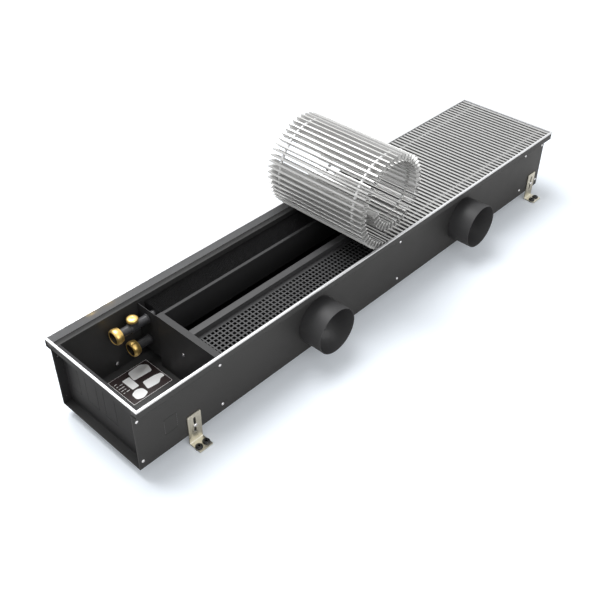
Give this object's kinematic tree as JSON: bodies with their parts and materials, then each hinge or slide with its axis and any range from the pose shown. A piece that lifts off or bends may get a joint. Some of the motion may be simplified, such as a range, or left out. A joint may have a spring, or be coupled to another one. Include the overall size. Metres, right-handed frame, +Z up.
{
  "type": "trench convector heater",
  "caption": "Floor trench convector heater with fresh-air spigots, pipe compartment, adjustable feet and a roll-up slatted grille, half rolled open.",
  "frame": {"origin": "centre of the bounding box's footprint, on the floor under the rubber feet", "axes": "+X along the tray away from the pipe compartment, +Y away from the air spigots, +Z up"},
  "size_m": [1.58, 0.3842, 0.4558],
  "materials": {
    "tray_powder_coat": "matt dark grey powder coat",
    "inner_powder_coat": "matt near-black powder coat",
    "cover_powder_coat": "matt dark grey powder coat",
    "frame_aluminium": "satin natural anodised",
    "slat_aluminium": "satin natural anodised",
    "fin_lacquer": "matt black lacquer",
    "pipe_lacquer": "satin dark lacquer",
    "brass": "satin machined",
    "zinc_plate": "glossy zinc plate",
    "rivet_steel": "bright zinc plate",
    "rubber": "matt black rubber",
    "card": "satin printed card"
  },
  "bodies": {
    "tray": {"tray_shell": "tray_powder_coat", "tray_rims": "tray_powder_coat", "end_panels": "tray_powder_coat", "trim_sides": "frame_aluminium", "trim_ends": "frame_aluminium", "dividers": "inner_powder_coat", "plenum_divider": "inner_powder_coat", "plenum_wall": "inner_powder_coat", "perforated_cover": "cover_powder_coat", "air_baffle": "inner_powder_coat", "exchanger_fins": "fin_lacquer", "exchanger_pipes": "pipe_lacquer", "exchanger_end_plates": "inner_powder_coat", "return_bend": "pipe_lacquer", "flow_stub": "pipe_lacquer", "return_stub": "pipe_lacquer", "duct_spigots": "tray_powder_coat", "rivets": "rivet_steel", "bracket_bolts": "zinc_plate", "wiring_card": "card"},
    "grille": {"grille_slats": "slat_aluminium", "grille_sleeves": "slat_aluminium"},
    "grille_link_01": {"grille_link_01": "slat_aluminium"},
    "grille_link_02": {"grille_link_02": "slat_aluminium"},
    "grille_link_03": {"grille_link_03": "slat_aluminium"},
    "grille_link_04": {"grille_link_04": "slat_aluminium"},
    "grille_link_05": {"grille_link_05": "slat_aluminium"},
    "grille_link_06": {"grille_link_06": "slat_aluminium"},
    "grille_link_07": {"grille_link_07": "slat_aluminium"},
    "grille_link_08": {"grille_link_08": "slat_aluminium"},
    "grille_link_09": {"grille_link_09": "slat_aluminium"},
    "grille_link_10": {"grille_link_10": "slat_aluminium"},
    "grille_link_11": {"grille_link_11": "slat_aluminium"},
    "grille_link_12": {"grille_link_12": "slat_aluminium"},
    "grille_link_13": {"grille_link_13": "slat_aluminium"},
    "grille_link_14": {"grille_link_14": "slat_aluminium"},
    "grille_link_15": {"grille_link_15": "slat_aluminium"},
    "grille_link_16": {"grille_link_16": "slat_aluminium"},
    "grille_link_17": {"grille_link_17": "slat_aluminium"},
    "grille_link_18": {"grille_link_18": "slat_aluminium"},
    "grille_link_19": {"grille_link_19": "slat_aluminium"},
    "grille_link_20": {"grille_link_20": "slat_aluminium"},
    "grille_link_21": {"grille_link_21": "slat_aluminium"},
    "grille_link_22": {"grille_link_22": "slat_aluminium"},
    "grille_link_23": {"grille_link_23": "slat_aluminium"},
    "grille_link_24": {"grille_link_24": "slat_aluminium"},
    "grille_link_25": {"grille_link_25": "slat_aluminium"},
    "grille_link_26": {"grille_link_26": "slat_aluminium"},
    "grille_link_27": {"grille_link_27": "slat_aluminium"},
    "nut_flow": {"union_nut_flow": "brass"},
    "nut_return": {"union_nut_return": "brass"},
    "vent": {"vent_cap": "brass"},
    "foot_1": {"foot_bracket_1": "zinc_plate", "foot_grommets_1": "rubber"},
    "foot_2": {"foot_bracket_2": "zinc_plate", "foot_grommets_2": "rubber"},
    "foot_3": {"foot_bracket_3": "zinc_plate", "foot_grommets_3": "rubber"},
    "foot_4": {"foot_bracket_4": "zinc_plate", "foot_grommets_4": "rubber"}
  },
  "joints": [
    {"name": "grille_lift", "type": "slide", "parent": "tray", "child": "grille", "axis": [0, 0, 1], "range_m": [0, 0.15]},
    {"name": "unroll_01", "type": "hinge", "parent": "grille", "child": "grille_link_01", "pos_m": [0.0148, 0.01485, 0.2038], "axis": [0, -1, 0], "range_deg": [0, 12.31]},
    {"name": "unroll_02", "type": "hinge", "parent": "grille_link_01", "child": "grille_link_02", "pos_m": [-0.01412, 0.01485, 0.21011], "axis": [0, -1, 0], "range_deg": [0, 12.52]},
    {"name": "unroll_03", "type": "hinge", "parent": "grille_link_02", "child": "grille_link_03", "pos_m": [-0.04098, 0.01485, 0.22254], "axis": [0, -1, 0], "range_deg": [0, 12.73]},
    {"name": "unroll_04", "type": "hinge", "parent": "grille_link_03", "child": "grille_link_04", "pos_m": [-0.06445, 0.01485, 0.24058], "axis": [0, -1, 0], "range_deg": [0, 12.94]},
    {"name": "unroll_05", "type": "hinge", "parent": "grille_link_04", "child": "grille_link_05", "pos_m": [-0.08328, 0.01485, 0.26342], "axis": [0, -1, 0], "range_deg": [0, 13.17]},
    {"name": "unroll_06", "type": "hinge", "parent": "grille_link_05", "child": "grille_link_06", "pos_m": [-0.09641, 0.01485, 0.28995], "axis": [0, -1, 0], "range_deg": [0, 13.4]},
    {"name": "unroll_07", "type": "hinge", "parent": "grille_link_06", "child": "grille_link_07", "pos_m": [-0.10303, 0.01485, 0.3188], "axis": [0, -1, 0], "range_deg": [0, 13.64]},
    {"name": "unroll_08", "type": "hinge", "parent": "grille_link_07", "child": "grille_link_08", "pos_m": [-0.10267, 0.01485, 0.3484], "axis": [0, -1, 0], "range_deg": [0, 13.89]},
    {"name": "unroll_09", "type": "hinge", "parent": "grille_link_08", "child": "grille_link_09", "pos_m": [-0.0952, 0.01485, 0.37704], "axis": [0, -1, 0], "range_deg": [0, 14.15]},
    {"name": "unroll_10", "type": "hinge", "parent": "grille_link_09", "child": "grille_link_10", "pos_m": [-0.08096, 0.01485, 0.40299], "axis": [0, -1, 0], "range_deg": [0, 14.42]},
    {"name": "unroll_11", "type": "hinge", "parent": "grille_link_10", "child": "grille_link_11", "pos_m": [-0.06071, 0.01485, 0.42458], "axis": [0, -1, 0], "range_deg": [0, 14.7]},
    {"name": "unroll_12", "type": "hinge", "parent": "grille_link_11", "child": "grille_link_12", "pos_m": [-0.03565, 0.01485, 0.44032], "axis": [0, -1, 0], "range_deg": [0, 14.99]},
    {"name": "unroll_13", "type": "hinge", "parent": "grille_link_12", "child": "grille_link_13", "pos_m": [-0.00736, 0.01485, 0.44905], "axis": [0, -1, 0], "range_deg": [0, 15.29]},
    {"name": "unroll_14", "type": "hinge", "parent": "grille_link_13", "child": "grille_link_14", "pos_m": [0.02223, 0.01485, 0.45], "axis": [0, -1, 0], "range_deg": [0, 15.61]},
    {"name": "unroll_15", "type": "hinge", "parent": "grille_link_14", "child": "grille_link_15", "pos_m": [0.05097, 0.01485, 0.44296], "axis": [0, -1, 0], "range_deg": [0, 15.94]},
    {"name": "unroll_16", "type": "hinge", "parent": "grille_link_15", "child": "grille_link_16", "pos_m": [0.07669, 0.01485, 0.42829], "axis": [0, -1, 0], "range_deg": [0, 16.28]},
    {"name": "unroll_17", "type": "hinge", "parent": "grille_link_16", "child": "grille_link_17", "pos_m": [0.09726, 0.01485, 0.40701], "axis": [0, -1, 0], "range_deg": [0, 16.64]},
    {"name": "unroll_18", "type": "hinge", "parent": "grille_link_17", "child": "grille_link_18", "pos_m": [0.11088, 0.01485, 0.38073], "axis": [0, -1, 0], "range_deg": [0, 17.01]},
    {"name": "unroll_19", "type": "hinge", "parent": "grille_link_18", "child": "grille_link_19", "pos_m": [0.11621, 0.01485, 0.35161], "axis": [0, -1, 0], "range_deg": [0, 17.4]},
    {"name": "unroll_20", "type": "hinge", "parent": "grille_link_19", "child": "grille_link_20", "pos_m": [0.11259, 0.01485, 0.32223], "axis": [0, -1, 0], "range_deg": [0, 17.81]},
    {"name": "unroll_21", "type": "hinge", "parent": "grille_link_20", "child": "grille_link_21", "pos_m": [0.10016, 0.01485, 0.29537], "axis": [0, -1, 0], "range_deg": [0, 18.24]},
    {"name": "unroll_22", "type": "hinge", "parent": "grille_link_21", "child": "grille_link_22", "pos_m": [0.07995, 0.01485, 0.27375], "axis": [0, -1, 0], "range_deg": [0, 18.69]},
    {"name": "unroll_23", "type": "hinge", "parent": "grille_link_22", "child": "grille_link_23", "pos_m": [0.05388, 0.01485, 0.25974], "axis": [0, -1, 0], "range_deg": [0, 19.16]},
    {"name": "unroll_24", "type": "hinge", "parent": "grille_link_23", "child": "grille_link_24", "pos_m": [0.02465, 0.01485, 0.25506], "axis": [0, -1, 0], "range_deg": [0, 19.66]},
    {"name": "unroll_25", "type": "hinge", "parent": "grille_link_24", "child": "grille_link_25", "pos_m": [-0.00445, 0.01485, 0.2605], "axis": [0, -1, 0], "range_deg": [0, 20.18]},
    {"name": "unroll_26", "type": "hinge", "parent": "grille_link_25", "child": "grille_link_26", "pos_m": [-0.02989, 0.01485, 0.27563], "axis": [0, -1, 0], "range_deg": [0, 20.74]},
    {"name": "unroll_27", "type": "hinge", "parent": "grille_link_26", "child": "grille_link_27", "pos_m": [-0.04831, 0.01485, 0.2988], "axis": [0, -1, 0], "range_deg": [0, 21.32]},
    {"name": "nut_flow_turn", "type": "hinge", "parent": "tray", "child": "nut_flow", "pos_m": [-0.6562, 0.11935, 0.16299], "axis": [1, 0, 0], "continuous": true},
    {"name": "nut_return_turn", "type": "hinge", "parent": "tray", "child": "nut_return", "pos_m": [-0.6162, 0.11935, 0.1], "axis": [1, 0, 0], "continuous": true},
    {"name": "vent_turn", "type": "hinge", "parent": "tray", "child": "vent", "pos_m": [-0.59816, 0.11935, 0.18089], "axis": [0, 0, 1], "continuous": true},
    {"name": "foot_1_height", "type": "slide", "parent": "tray", "child": "foot_1", "axis": [0, 0, 1], "range_m": [-0.019, 0.019]},
    {"name": "foot_2_height", "type": "slide", "parent": "tray", "child": "foot_2", "axis": [0, 0, 1], "range_m": [-0.019, 0.019]},
    {"name": "foot_3_height", "type": "slide", "parent": "tray", "child": "foot_3", "axis": [0, 0, 1], "range_m": [-0.019, 0.019]},
    {"name": "foot_4_height", "type": "slide", "parent": "tray", "child": "foot_4", "axis": [0, 0, 1], "range_m": [-0.019, 0.019]}
  ]
}
